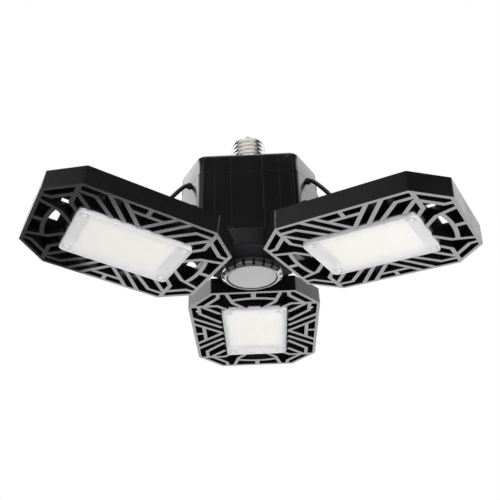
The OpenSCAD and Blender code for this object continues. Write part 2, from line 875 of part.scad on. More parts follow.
LONG_SIDE_BARS = [
    [[corner_a, half_w - g], [corner_a, half_w - 22 * g], [lens_a, lens_b - 6 * g]],
    [[corner_a, node_b - 2 * g], [half_l - 7 * g, half_w - chamfer_w - 4.5 * g],
        [half_l - g / 2, half_w - chamfer_w - 5 * g]],
    [[corner_a, node_b + 2 * g], [corner_a - 11 * g, node_b + 2 * g], [corner_a - 25.5 * g, lens_b]],
    [[corner_a - g, node_b - g], [corner_a - 12 * g, lens_b]],
    [[9 * g + long_run, half_w - g], [9 * g, lens_b]],
    [[long_run, half_w - g], [0, lens_b]]];
END_BARS = [
    [[half_l - g / 2, 20.5 * g], [half_l - 15 * g, 16 * g], [lens_a, 6 * g]]];
ARC_BAR = [for (i = [-4 : 4]) [window_a - 2.2 * g * pow(i / 4, 2), 4.1 * g * i]];

function heading(p, i) = i == 0 ? unit(p[1] - p[0])
    : i == len(p) - 1 ? unit(p[i] - p[i - 1])
    : unit(unit(p[i] - p[i - 1]) + unit(p[i + 1] - p[i]));
function mitre(p, i) = i == 0 || i == len(p) - 1 ? 1 : 1 / (unit(p[i] - p[i - 1]) * heading(p, i));
function bar_side(p, w, side) = [for (i = [0 : len(p) - 1])
    p[i] + side * w / 2 * mitre(p, i) * across(heading(p, i))];
function reversed(v) = [for (i = [len(v) - 1 : -1 : 0]) v[i]];
module bar(p, w = bar_w) {
    polygon(concat(bar_side(p, w, 1), reversed(bar_side(p, w, -1))));
}

module grille_bars() {
    for (m = [[1, 1], [-1, 1], [1, -1], [-1, -1]]) {
        for (p = LONG_SIDE_BARS)
            bar([for (q = p) [q[0] * m[0], q[1] * m[1]]]);
        for (p = END_BARS)
            bar([for (q = p) [q[0] * m[0], q[1] * m[1]]]);
    }
    for (m = [-1, 1]) {
        bar([for (q = ARC_BAR) [q[0] * m, q[1]]]);
        bar([[m * (half_l - g), 0], [m * window_a, 0]], bar_w * 1.3);
        bar([[-slope_run * 15 * g, m * (half_w - 9 * g)], [slope_run * 15 * g, m * (half_w - 9 * g)]]);
        bar([[0, m * (half_w - 9 * g)], [0, m * (half_w - g)]]);
    }
}

module lens_outline(d) {
    rounded(inset([[lens_l / 2, -lens_w / 2], [lens_l / 2, lens_w / 2], [-lens_l / 2, lens_w / 2],
        [-lens_l / 2, -lens_w / 2]], d), lens_corner_r - min(d, lens_corner_r - edge));
}

module at_lens_screws() {
    for (x = [-1, 1], y = [-1, 1])
        translate([x * (lens_l / 2 - lens_screw_inset), y * (lens_w / 2 - lens_screw_inset), 0])
            children();
}

// The grille and its web end inside the side wall
module web_outline() {
    rounded(inset(PANEL_OUTLINE, rim_w / 2), panel_corner_r / 2);
}

module vents() {
    for (m = [-1, 1]) {
        translate([m * (half_l - vent_in - vent_l / 2), 0])
            square([vent_l, vent_w], center = true);
        for (n = [-1, 1])
            translate([m * side_vent_u, n * (half_w - side_vent_in - side_vent_w / 2)])
                square([side_vent_l, side_vent_w], center = true);
        translate([half_l - small_vent_in, m * small_vent_v])
            square(small_vent, center = true);
    }
}

module panel_frame(az, tilt) {
    pad_end = gland_out + gland_d * 0.7;
    fins_start = pad_end + fin_t;
    fins_end = mid_u + tray_l / 2;
    color("#1b1b1d")
        on_panel(az, tilt)
            difference() {
                union() {
                    translate([mid_u, 0, face_z]) {
                        linear_extrude(panel_h)
                            difference() {
                                rounded(PANEL_OUTLINE, panel_corner_r);
                                rounded(inset(PANEL_OUTLINE, rim_w), edge);
                            }
                        linear_extrude(bar_h)
                            intersection() {
                                web_outline();
                                difference() {
                                    grille_bars();
                                    lens_outline(-lens_gap);
                                }
                            }
                        translate([-tray_l / 2, -tray_w / 2, tray_z])
                            cube([tray_l, tray_w, bar_h - tray_z]);
                        translate([0, 0, well_down])
                            linear_extrude(tray_z - well_down + eps)
                                difference() {
                                    lens_outline(-lens_gap - well_t);
                                    lens_outline(-lens_gap);
                                }
                        translate([0, 0, bar_h - eps])
                            linear_extrude(web_plate_t)
                                difference() {
                                    web_outline();
                                    vents();
                                }
                    }
                    for (i = [0 : fins - 1])
                        translate([fins_start, (i / (fins - 1) - 0.5) * (tray_w - 4 * fin_t) - fin_t / 2,
                            face_z + bar_h - eps])
                            cube([fins_end - fins_start, fin_t, panel_h - bar_h - fin_drop]);
                    translate([-pad_in, -pad_w / 2, face_z + bar_h - eps])
                        cube([pad_in + pad_end, pad_w, pad_h - bar_h + eps]);
                }
                translate([mid_u, 0, face_z + bar_h + web_plate_t])
                    at_lens_screws()
                        held_hole(small_screw_d, web_plate_t + bar_h - tray_z + over);
                translate([gland_out, 0, face_z])
                    cylinder(h = panel_h, r = lead_d / 2 + 2 * lead_clear);
                at_bracket_screws()
                    translate([0, 0, face_z + pad_h])
                        held_hole(small_screw_d, plate_hold + screw_spare / 2);
            }
}

module led_board(az, tilt) {
    color("white")
        on_panel(az, tilt)
            translate([mid_u - led_board_l / 2, -led_board_w / 2, face_z + tray_z - led_board_t])
                cube([led_board_l, led_board_w, led_board_t]);
}

module leds(az, tilt) {
    color("khaki")
        on_panel(az, tilt)
            for (i = [0 : led_cols - 1], j = [0 : led_rows - 1])
                translate([mid_u + (i - (led_cols - 1) / 2) * led_board_l / led_cols - led_size / 2,
                    (j - (led_rows - 1) / 2) * led_board_w / led_rows - led_size / 2,
                    face_z + tray_z - led_board_t - led_h])
                    cube([led_size, led_size, led_h]);
}

module lens(az, tilt) {
    color("whitesmoke")
        on_panel(az, tilt)
            translate([mid_u, 0, face_z - lens_proud])
                difference() {
                    union() {
                        difference() {
                            linear_extrude(lens_proud + tray_z)
                                lens_outline(0);
                            translate([0, 0, lens_t])
                                linear_extrude(lens_proud + tray_z)
                                    lens_outline(lens_t);
                        }
                        translate([0, 0, eps])
                            at_lens_screws()
                                cylinder(h = lens_proud + tray_z - eps, d = lens_boss_d);
                    }
                    at_lens_screws() {
                        translate([0, 0, -over])
                            cylinder(h = over + lens_sink, d = lens_head_d + 2 * screw_free);
                        translate([0, 0, lens_proud + tray_z])
                            free_hole(small_screw_d, lens_proud + tray_z);
                    }
                }
}

module lens_screws(az, tilt) {
    color("silver")
        on_panel(az, tilt)
            translate([mid_u, 0, face_z - lens_proud + lens_sink])
                at_lens_screws() {
                    difference() {
                        translate([0, 0, -lens_head_h])
                            cylinder(h = lens_head_h, d1 = lens_head_d * 0.8, d2 = lens_head_d);
                        translate([-lens_head_d / 2, -lens_slot_w / 2, -lens_head_h - over])
                            cube([lens_head_d, lens_slot_w, over + lens_head_h / 3]);
                    }
                    translate([0, 0, -eps])
                        cylinder(h = lens_proud + bar_h - lens_sink, d = small_screw_d);
                }
}

// ---------- hinge, panel side ----------
ear_y = knuckle_w / 2 + washer_t;
bracket_w = 2 * (ear_y + ear_t);

module at_bracket_screws() {
    for (side = [-1, 1])
        translate([bracket_screw_x - bracket_in, side * (bracket_w / 2 - bracket_screw_y), 0])
            children();
}

module hinge_bracket(az, tilt) {
    plate_z = face_z + pad_h;
    ear_r = knuckle_d / 2;
    color("#202022")
        on_panel(az, tilt)
            difference() {
                union() {
                    translate([-bracket_in, -bracket_w / 2, plate_z])
                        cube([bracket_in + bracket_out, bracket_w, bracket_t]);
                    for (y = [-ear_y, ear_y + ear_t])
                        translate([0, y, 0])
                            rotate([90, 0, 0]) {
                                cylinder(h = ear_t, r = ear_r);
                                linear_extrude(ear_t)
                                    polygon([[-ear_r, 0], [-ear_r - ear_flare, plate_z + eps],
                                        [bracket_out, plate_z + eps], [ear_r, 0]]);
                            }
                }
                translate([0, bracket_w / 2 + over, 0])
                    rotate([90, 0, 0])
                        cylinder(h = bracket_w + 2 * over, r = bolt_d / 2 + bolt_clear);
                at_bracket_screws()
                    translate([0, 0, plate_z + bracket_t])
                        free_hole(small_screw_d, bracket_t);
            }
}

module bracket_screws(az, tilt) {
    color("silver")
        on_panel(az, tilt)
            at_bracket_screws()
                translate([0, 0, face_z + panel_h])
                    small_screw(bracket_t + plate_hold);
}

module hinge_bolt(az, tilt) {
    head_y = bracket_w / 2;
    color("silver")
        on_panel(az, tilt)
            rotate([90, 0, 0]) {
                difference() {
                    translate([0, 0, head_y])
                        cylinder(h = bolt_head_h, d = bolt_head_d);
                    translate([0, 0, head_y + bolt_head_h * 0.4])
                        cylinder(h = bolt_head_h, d = bolt_head_d / 2, $fn = 6);
                }
                translate([0, 0, -head_y - nut_h - edge])
                    cylinder(h = 2 * head_y + nut_h + edge + eps, d = bolt_d);
            }
}

module hinge_nut(az, tilt) {
    color("silver")
        on_panel(az, tilt)
            rotate([-90, 0, 0])
                translate([0, 0, bracket_w / 2])
                    difference() {
                        cylinder(h = nut_h, d = nut_d, $fn = 6);
                        translate([0, 0, -over])
                            cylinder(h = nut_h + 2 * over, r = bolt_d / 2 + fit);
                    }
}

module washers(az, tilt) {
    color("ivory")
        on_panel(az, tilt)
            for (y = [-ear_y, knuckle_w / 2])
                translate([0, y, 0])
                    rotate([-90, 0, 0])
                        difference() {
                            cylinder(h = washer_t, r = knuckle_d / 2 - edge);
                            translate([0, 0, -over])
                                cylinder(h = washer_t + 2 * over, r = bolt_d / 2 + fit);
                        }
}

// ---------- leads ----------
module gland(az, tilt) {
    color("#0c0c0c")
        on_panel(az, tilt)
            translate([gland_out, 0, face_z + pad_h])
                difference() {
                    union() {
                        cylinder(h = gland_foot_h, d = gland_d, $fn = 6);
                        cylinder(h = gland_h, d1 = gland_d * 0.83, d2 = gland_d * 0.66);
                    }
                    translate([0, 0, -over])
                        cylinder(h = gland_h + 2 * over, r = lead_d / 2 + lead_clear);
                }
}

// A lead climbs from the driver board to its grommet, then hangs down to its gland. Points are
// [distance from the lamp's axis, height above the hinge pin], in the panel's upright plane.
// The inner part is laid out in shares of the narrow face's distance and the grommet's height,
// the free part in shares of the pin's distance from that face and the grommet's height.
grommet_up = seam_z - pivot_z;
INSIDE_SHARES = [[0.454, 0.45], [0.454, 0.63], [0.495, 0.81], [0.598, 0.955], [0.742, 1.022]];
FREE_SHARES = [[0.18, 0.992], [0.36, 0.942], [0.6, 0.852], [0.85, 0.748], [1.06, 0.65], [1.3, 0.51],
    [1.52, 0.36], [1.67, 0.21]];
function lead_route(tilt) = concat(
    [[INSIDE_SHARES[0][0] * flat_face_r, board_top - pivot_z]],
    [for (s = INSIDE_SHARES) [s[0] * flat_face_r, s[1] * grommet_up]],
    [[flat_face_r - 2 * wall, grommet_up], [flat_face_r + grommet_flange_t, grommet_up]],
    [for (s = FREE_SHARES) [flat_face_r + s[0] * pivot_out, s[1] * grommet_up]],
    [for (w = [pad_h + 2 * gland_h, pad_h + gland_h, pad_h, tray_z])
        [pivot_r + gland_out * cos(tilt) - (w - pivot_h) * sin(tilt),
            gland_out * sin(tilt) + (w - pivot_h) * cos(tilt)]]);

lead_sides = 8;
function route_point(p) = [p[0], 0, p[1] + pivot_z];
function tube_ring(p, i, r) = let (n = across(heading(p, i)))
    [for (k = [0 : lead_sides - 1]) let (a = k * 360 / lead_sides)
        route_point(p[i] + r * cos(a) * n) + [0, r * sin(a), 0]];

module tube(p, r) {
    m = len(p);
    n = lead_sides;
    pts = concat([for (i = [0 : m - 1]) each tube_ring(p, i, r)],
        [route_point(p[0]), route_point(p[m - 1])]);
    walls = [for (i = [0 : m - 2], k = [0 : n - 1]) let (a = i * n + k, b = i * n + (k + 1) % n) each
        [[a, b, a + n], [b, b + n, a + n]]];
    ends = [for (k = [0 : n - 1]) each
        [[m * n, (k + 1) % n, k], [m * n + 1, (m - 1) * n + k, (m - 1) * n + (k + 1) % n]]];
    polyhedron(pts, concat(walls, ends));
}

module lead(az, tilt) {
    color("#101010")
        rotate(az)
            tube(lead_route(tilt), lead_d / 2);
}

// Two wires from the lamp cap to the driver board: [distance from the axis in wire
// diameters, height]
function wire_route(p) = [for (q = p) [q[0] * wire_d, q[1] - pivot_z]];
LIVE_ROUTE = [[0, contact_foot - stem_h], [0, shell_top - insulator_foot_h - 2 * wire_d], [0.7, shell_foot],
    [1.4, cover_top], [3.6, seam_z + wire_d], [5, board_top + 9 * wire_d], [5, board_top]];
NEUTRAL_ROUTE = [[bore_r / wire_d - 0.5, shell_foot + stub_h + 1.4 * wire_d],
    [5.7, shell_foot + stub_h + 1.4 * wire_d], [3.9, shell_foot + stub_h], [3.9, shell_foot],
    [3.9, cover_top], [4.6, seam_z + wire_d], [5, board_top + 13 * wire_d], [5, board_top]];

module input_leads() {
    color("firebrick")
        rotate(-60)
            tube(wire_route(LIVE_ROUTE), wire_d / 2);
    color("ivory")
        rotate(-120)
            tube(wire_route(NEUTRAL_ROUTE), wire_d / 2);
}

screw_shell();
cap_insulator();
centre_contact();
cap_collar();
top_cover();
cover_screws();
driver_housing();
driver_board();
transformer();
capacitors();
board_parts();
board_screws();
input_leads();
lead_grommets();
hub_neck();
hub_screws();
bezel_ring();
end_disc();
block_screws();
hinge_block(az_back);  // hinge_block_back
hinge_block(az_left);  // hinge_block_left
hinge_block(az_right);  // hinge_block_right
panel_frame(az_back, tilt_back);  // panel_frame_back
led_board(az_back, tilt_back);  // led_board_back
leds(az_back, tilt_back);  // leds_back
lens(az_back, tilt_back);  // lens_back
lens_screws(az_back, tilt_back);  // lens_screws_back
hinge_bracket(az_back, tilt_back);  // hinge_bracket_back
bracket_screws(az_back, tilt_back);  // bracket_screws_back
hinge_bolt(az_back, tilt_back);  // hinge_bolt_back
hinge_nut(az_back, tilt_back);  // hinge_nut_back
washers(az_back, tilt_back);  // washers_back
gland(az_back, tilt_back);  // gland_back
lead(az_back, tilt_back);  // lead_back
panel_frame(az_left, tilt_left);  // panel_frame_left
led_board(az_left, tilt_left);  // led_board_left
leds(az_left, tilt_left);  // leds_left
lens(az_left, tilt_left);  // lens_left
lens_screws(az_left, tilt_left);  // lens_screws_left
hinge_bracket(az_left, tilt_left);  // hinge_bracket_left
bracket_screws(az_left, tilt_left);  // bracket_screws_left
hinge_bolt(az_left, tilt_left);  // hinge_bolt_left
hinge_nut(az_left, tilt_left);  // hinge_nut_left
washers(az_left, tilt_left);  // washers_left
gland(az_left, tilt_left);  // gland_left
lead(az_left, tilt_left);  // lead_left
panel_frame(az_right, tilt_right);  // panel_frame_right
led_board(az_right, tilt_right);  // led_board_right
leds(az_right, tilt_right);  // leds_right
lens(az_right, tilt_right);  // lens_right
lens_screws(az_right, tilt_right);  // lens_screws_right
hinge_bracket(az_right, tilt_right);  // hinge_bracket_right
bracket_screws(az_right, tilt_right);  // bracket_screws_right
hinge_bolt(az_right, tilt_right);  // hinge_bolt_right
hinge_nut(az_right, tilt_right);  // hinge_nut_right
washers(az_right, tilt_right);  // washers_right
gland(az_right, tilt_right);  // gland_right
lead(az_right, tilt_right);  // lead_right
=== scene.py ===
# %% [markdown]
# # A folding garage light
# The lamp hangs from an E26 cap. Under the cap sit a glossy black driver housing and a slotted
# hub, and three LED panels fold about hinges on the housing's narrow faces. The engineering
# model gives every solid its place, so this script only dresses it: softer edges, a real thread,
# leads that bend, and a procedural finish for every piece.

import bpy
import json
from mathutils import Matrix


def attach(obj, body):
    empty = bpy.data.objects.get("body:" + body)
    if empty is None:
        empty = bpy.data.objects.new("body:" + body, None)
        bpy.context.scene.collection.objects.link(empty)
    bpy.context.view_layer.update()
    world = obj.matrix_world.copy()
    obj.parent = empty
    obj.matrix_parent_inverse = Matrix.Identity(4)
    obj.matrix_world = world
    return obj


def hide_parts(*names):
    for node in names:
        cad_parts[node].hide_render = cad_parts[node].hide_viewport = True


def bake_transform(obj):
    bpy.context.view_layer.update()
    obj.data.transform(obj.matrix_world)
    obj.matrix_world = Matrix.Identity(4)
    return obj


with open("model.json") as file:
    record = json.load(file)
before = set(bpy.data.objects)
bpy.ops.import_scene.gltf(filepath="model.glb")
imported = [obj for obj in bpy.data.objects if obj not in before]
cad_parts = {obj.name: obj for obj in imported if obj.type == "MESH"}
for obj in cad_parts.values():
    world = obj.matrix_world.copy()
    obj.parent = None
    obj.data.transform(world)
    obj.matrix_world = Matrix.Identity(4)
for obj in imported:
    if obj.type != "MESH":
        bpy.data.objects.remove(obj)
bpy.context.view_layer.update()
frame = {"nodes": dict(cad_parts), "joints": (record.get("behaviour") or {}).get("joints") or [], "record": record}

# %% [markdown]
# The photograph was taken from below and in front, about half a metre away on the lamp's scale. A
# camera can be aimed by hand or by a constraint. Here its place was solved from the lamp's
# corners, so it is written down as numbers: a place, a small turn round, a tilt up from level
# and a slight roll together give the photograph's view.

# %% Camera
import bpy
import bmesh
import json
import math
from mathutils import Matrix, Vector

MM = 0.001
CAMERA_AT = Vector((5.969, -396.344, -322.581)) * MM
CAMERA_TURN, CAMERA_UP, CAMERA_ROLL = 0.995, 29.288, -1.817
scene = bpy.context.scene
camera = bpy.data.objects.new("camera", bpy.data.cameras.new("camera"))
camera.data.lens = 46.0
camera.data.clip_start = 0.01
camera.matrix_world = (
    Matrix.Translation(CAMERA_AT)
    @ Matrix.Rotation(math.radians(CAMERA_TURN), 4, "Z")
    @ Matrix.Rotation(math.radians(90 + CAMERA_UP), 4, "X")
    @ Matrix.Rotation(math.radians(CAMERA_ROLL), 4, "Z")
)
scene.collection.objects.link(camera)
scene.camera = camera
print("camera at", [round(c, 3) for c in CAMERA_AT])

# %% [markdown]
# Everything on a panel is easiest to think of in the panel's own frame: the hinge pin is the
# origin, X runs out along the panel, Y across it and Z away from its lit face. An Empty for each
# panel could hold such a frame. One matrix a panel is enough here, to take a point to its place
# on the lamp or the other way round. The pins it gives are compared with the record's joints.

# %% The three panels' frames
PANELS = {"back": (90, -6.5), "left": (210, 7.5), "right": (330, -3.0)}
PIN_OUT = 62.0 * MM
PIN_Z = -104.5 * MM
FACE_BELOW_PIN = 20.0 * MM
PANEL_MIDDLE = 27.4 * MM


def panel_frame(name):
    azimuth, tilt = PANELS[name]
    return (
        Matrix.Rotation(math.radians(azimuth), 4, "Z")
        @ Matrix.Translation((PIN_OUT, 0, PIN_Z))
        @ Matrix.Rotation(math.radians(-tilt), 4, "Y")
    )


for joint in frame["joints"]:
    side = joint["child"].removeprefix("panel_")
    away = (panel_frame(side).translation - Vector(joint["pos_m"])).length
    print(joint["name"], "pin off by", round(away * 1000, 4), "mm")

# %% [markdown]
# A thin black lead feeds each panel. It leaves a grommet on the housing's parting line, hangs down
# in front of the hinge and goes into a gland on the panel's back. The photograph shows where the
# left and right ones leave their grommets. Its line could be drawn by hand, but it has to keep
# to the engineering solid's route, so it is worked out from a list of distances from the lamp's
# axis and heights above the hinge pin.

# %% The leads' routes
LEAD_D = 3.0 * MM
FLAT_FACE = 48.5 * MM
PIN_FROM_FACE = PIN_OUT - FLAT_FACE
GROMMET_UP = 44.5 * MM
GROMMET_FACE = 1.5 * MM
WALL = 2.4 * MM
FREE_SHARES = [
    (0.18, 0.992), (0.36, 0.942), (0.6, 0.852), (0.85, 0.748),
    (1.06, 0.65), (1.3, 0.51), (1.52, 0.36), (1.67, 0.21),
]
INSIDE_SHARES = [(0.454, 0.45), (0.454, 0.63), (0.495, 0.81), (0.598, 0.955), (0.742, 1.022)]
BOARD_TOP_UP = 12.0 * MM
GLAND_OUT = 10.0 * MM
GLAND_HEIGHTS = [h * MM for h in (21.0, 16.0, 10.0, 3.5)]


def upright_point(azimuth, out, up):
    turn = math.radians(azimuth)
    return Vector((out * math.cos(turn), out * math.sin(turn), PIN_Z + up))


def free_route(name):
    azimuth, _ = PANELS[name]
    points = [upright_point(azimuth, FLAT_FACE + GROMMET_FACE, GROMMET_UP)]
    points += [
        upright_point(azimuth, FLAT_FACE + a * PIN_FROM_FACE, b * GROMMET_UP)
        for a, b in FREE_SHARES
    ]
    place = panel_frame(name)
    points += [place @ Vector((GLAND_OUT, 0, h - FACE_BELOW_PIN)) for h in GLAND_HEIGHTS]
    return points


def inside_route(name):
    azimuth, _ = PANELS[name]
    points = [upright_point(azimuth, INSIDE_SHARES[0][0] * FLAT_FACE, BOARD_TOP_UP)]
    points += [upright_point(azimuth, a * FLAT_FACE, b * GROMMET_UP) for a, b in INSIDE_SHARES]
    points += [
        upright_point(azimuth, FLAT_FACE - 2 * WALL, GROMMET_UP),
        upright_point(azimuth, FLAT_FACE + GROMMET_FACE, GROMMET_UP),
    ]
    return points


print("route points", len(free_route("left")), "and inside", len(inside_route("left")))

# %% [markdown]
# A lead is a round cable, about 3 mm thick. A curve with a round bevel makes a tube at once, and
# caps close its ends. The tube is turned into a mesh and its caps are welded on. The curve itself
# is only a helper and is taken away.

# %% Tubes along a smooth curve
LINE_STEPS = 10
TUBE_SIDES = 20
WELD_DISTANCE = 0.001 * MM


def smooth_line(points):
    """Points of a smooth curve through the given ones."""
    line = []
    for i in range(len(points) - 1):
        before = points[max(i - 1, 0)]
        start, end = points[i], points[i + 1]
        after = points[min(i + 2, len(points) - 1)]
        for k in range(LINE_STEPS):
            t = k / LINE_STEPS
            line.append(
                0.5 * (2 * start + (end - before) * t
                       + (2 * before - 5 * start + 4 * end - after) * t ** 2
                       + (3 * start - before - 3 * end + after) * t ** 3)
            )
    return line + [points[-1]]


def tube(name, line, diameter):
    """A closed tube: a circle is swept along the line by a curve, then made a mesh."""
    curve = bpy.data.curves.new(name, "CURVE")
    curve.dimensions = "3D"
    curve.bevel_depth = diameter / 2
    curve.bevel_resolution = (TUBE_SIDES - 4) // 2
    curve.use_fill_caps = True
    spline = curve.splines.new("POLY")
    spline.points.add(len(line) - 1)
    for point, place in zip(spline.points, line):
        point.co = (*place, 1)
    swept = bpy.data.objects.new(name + "_curve", curve)
    scene.collection.objects.link(swept)
    depsgraph = bpy.context.evaluated_depsgraph_get()
    mesh = bpy.data.meshes.new_from_object(swept.evaluated_get(depsgraph))
    bpy.data.objects.remove(swept)
    mesh.name = name
    bm = bmesh.new()
    bm.from_mesh(mesh)
    bmesh.ops.remove_doubles(bm, verts=bm.verts, dist=WELD_DISTANCE)
    bmesh.ops.recalc_face_normals(bm, faces=bm.faces)
    bm.to_mesh(mesh)
    bm.free()
    mesh.shade_smooth()
    piece = bpy.data.objects.new(name, mesh)
    scene.collection.objects.link(piece)
    return piece


# %% [markdown]
# Each lead has two parts. The free one hangs outside, about 68 mm long between its ends. The tail
# inside the housing never moves, so it is a tube of its own that rides the housing.

# %% Make the leads
leads = {}
for side, (azimuth, _) in PANELS.items():
    line = smooth_line(free_route(side))
    lead = tube("lead_" + side + "_free", line, LEAD_D)
    leads[side] = lead
    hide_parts("lead_" + side)
    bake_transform(lead)
    tail = tube("lead_" + side + "_tail", smooth_line(inside_route(side)), LEAD_D)
    leads[side + "_tail"] = tail
    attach(tail, "housing")
    long = sum((b - a).length for a, b in zip(line, line[1:]))
    print(lead.name, "is", round(long * 1000, 1), "mm long")

# %% [markdown]
# Moulded and cast parts never have knife edges: a narrow round along each edge catches a thin
# line of light. So some of the engineering solids get a softened copy, which stands for the node
# and rides its body. The record says which body and which finish each node has.

# %% What the record says of each node
nodes = frame["nodes"]
record = frame["record"]
body_of_node = {
    node: body for body, members in record["behaviour"]["bodies"].items() for node in members
}
slot_of_node = {part["node"]: part["material_slot"] for part in record["subparts"]}
print("finishes in the record", len(set(slot_of_node.values())))

# %% [markdown]
# The cover's upper rim is round on the real lamp. The engineering solid has it as three small
# steps that stay inside the round. The rim could be modelled anew, but in the copy it is enough to
# lift the foot of each riser to its head: the treads become slopes, and smooth shading over them
# reads as one rounded rim that still stays inside the round.

# %% The cover's round rim
COVER_TOP = -44.0 * MM
COVER_ROUND = 2.0 * MM
RIM_STEPS = 3
RIM_TOLERANCE = 0.02 * MM
MERGE_DISTANCE = 0.002 * MM


def rim_level(step):
    return COVER_TOP - COVER_ROUND + COVER_ROUND * math.sin(math.pi / 2 * step / RIM_STEPS)


def slope_steps(bm):
    """Turns the cover's stepped rim into a round one: each riser is closed up to its head."""
    plan = {}
    for vert in bm.verts:
        key = (round(vert.co.x / MM, 2), round(vert.co.y / MM, 2))
        plan.setdefault(key, []).append(vert)
    moved = 0
    for column in plan.values():
        for step in range(1, RIM_STEPS + 1):
            feet = [v for v in column if abs(v.co.z - rim_level(step - 1)) < RIM_TOLERANCE]
            heads = [v for v in column if abs(v.co.z - rim_level(step)) < RIM_TOLERANCE]
            if feet and heads:
                for foot in feet:
                    foot.co.z = rim_level(step)
                moved += len(feet)
                break
    bmesh.ops.remove_doubles(bm, verts=bm.verts, dist=MERGE_DISTANCE)
    print("rim points moved", moved)


# %% [markdown]
# The solids come as loose triangles. A copy is merged into proper faces, its flat parts are made
# whole, and a Bevel modifier rounds the edges that are sharper than an angle. The edges could be
# rounded in the mesh itself, but a modifier is quicker to change, and its hardened normals keep
# the flat faces flat. The panel frames are the exception: their fine grilles keep all their faces
# and crisp edges, and take their bare lower face from a finish instead.

# %% A merged copy
SOFT_EDGE_ANGLE = math.radians(35)
FLAT_ANGLE = math.radians(0.4)


def merged_copy(node):
    """A mesh like the node's, with its loose triangles joined and its flat faces made whole."""
    mesh = nodes[node].data.copy()
    mesh.name = node + "_soft"
    mesh.materials.clear()
    bm = bmesh.new()
    bm.from_mesh(mesh)
    bmesh.ops.remove_doubles(bm, verts=bm.verts, dist=MERGE_DISTANCE)
    if node == "top_cover":
        slope_steps(bm)
    if not node.startswith("panel_frame"):
        bmesh.ops.dissolve_limit(bm, angle_limit=FLAT_ANGLE, verts=bm.verts, edges=bm.edges)
    for edge in bm.edges:
        edge.smooth = edge.calc_face_angle(math.pi) < SOFT_EDGE_ANGLE
    for face in bm.faces:
        face.smooth = True
    bm.to_mesh(mesh)
    bm.free()
    return mesh


# %% A copy with softened edges
BEVEL_SEGMENTS = 2


def softened(node, width):
    """A copy that stands for the node, with its edges rounded to the width."""
    piece = bpy.data.objects.new(node + "_soft", merged_copy(node))
    scene.collection.objects.link(piece)
    if width > 0:
        bevel = piece.modifiers.new("soft_edges", "BEVEL")
        bevel.limit_method = "ANGLE"
        bevel.angle_limit = SOFT_EDGE_ANGLE
        bevel.width = width
        bevel.segments = BEVEL_SEGMENTS
        bevel.harden_normals = True
        bevel.use_clamp_overlap = False
    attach(piece, body_of_node[node])
    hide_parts(node)
    return piece


# %% [markdown]
# How round an edge looks depends on how the piece is made: a few tenths of a millimetre at most
# for the mouldings and castings here. The leads and the screw shell are made anew, and all other
# nodes are shown as they come.

# %% Which pieces are softened, and by how many millimetres
SOFT_WIDTHS = {
    "cap_collar": 0.35, "top_cover": 0.15, "driver_housing": 0.15, "lead_grommets": 0.2,
    "hub_neck": 0.2, "bezel_ring": 0.15, "end_disc": 0.15,
}
PANEL_SOFT_WIDTHS = {
    "hinge_block": 0.4, "panel_frame": 0, "lens": 0.3, "hinge_bracket": 0.3, "gland": 0.2,
}
soft = {node: softened(node, width * MM) for node, width in SOFT_WIDTHS.items()}
for side in PANELS:
    for part, width in PANEL_SOFT_WIDTHS.items():
        node = part + "_" + side
        soft[node] = softened(node, width * MM)
print("softened", len(soft), "pieces")

# %% [markdown]
# The cap's shell is rolled from thin sheet, so its thread is a smooth wave with no sharp crest. A
# Screw modifier could make it. Here one pitch of that wave is spun round the axis while it climbs,
# because the mesh it gives can then be cut level at both ends, so that the skirt below and the
# rolled-in edge above grow out of the cut rims.

# %% The shell's sizes, and one pitch of its thread
CREST_R = 13.1 * MM
ROOT_R = CREST_R - 0.9 * MM
PITCH = 3.629 * MM
SHELL_TOP = -7.5 * MM
SHELL_FOOT = -27.0 * MM
SKIRT_TOP = SHELL_FOOT + 3.5 * MM
CURL_FOOT = SHELL_TOP - 1.8 * MM
BORE_R = 11.8 * MM
CURL_W = 2.4 * MM
WAVE_STEPS = 12


def wave_points():
    """One pitch of the rolled thread, from crest to crest, as points in the XZ plane."""
    middle, half = (CREST_R + ROOT_R) / 2, (CREST_R - ROOT_R) / 2
    return [
        Vector((middle + half * math.cos(2 * math.pi * k / WAVE_STEPS), 0, PITCH * k / WAVE_STEPS))
        for k in range(WAVE_STEPS + 1)
    ]


print("points in one pitch", len(wave_points()))

# %% [markdown]
# Two small tools work on the shell's open rims. One draws a rim out to a new ring, as Extrude and
# Scale would do by hand. The other cuts the shell level, as Bisect does, and gives back the rim
# that the cut leaves.

# %% Tools for open rims
def grow_ring(bm, rim, radius, height):
    """Extrudes the open rim to a round ring of that radius and height."""
    grown = bmesh.ops.extrude_edge_only(bm, edges=rim)["geom"]
    for vert in (g for g in grown if isinstance(g, bmesh.types.BMVert)):
        flat = Vector((vert.co.x, vert.co.y, 0)).normalized() * radius
        vert.co = flat + Vector((0, 0, height))
    return [g for g in grown if isinstance(g, bmesh.types.BMEdge)]


def level_cut(bm, height, up):
    """Cuts the shell level, clears what is beyond the cut, and gives back the rim."""
    cut = bmesh.ops.bisect_plane(
        bm, geom=bm.verts[:] + bm.edges[:] + bm.faces[:], plane_co=(0, 0, height),
        plane_no=(0, 0, 1), clear_outer=up, clear_inner=not up,
    )["geom_cut"]
    return [g for g in cut if isinstance(g, bmesh.types.BMEdge)]


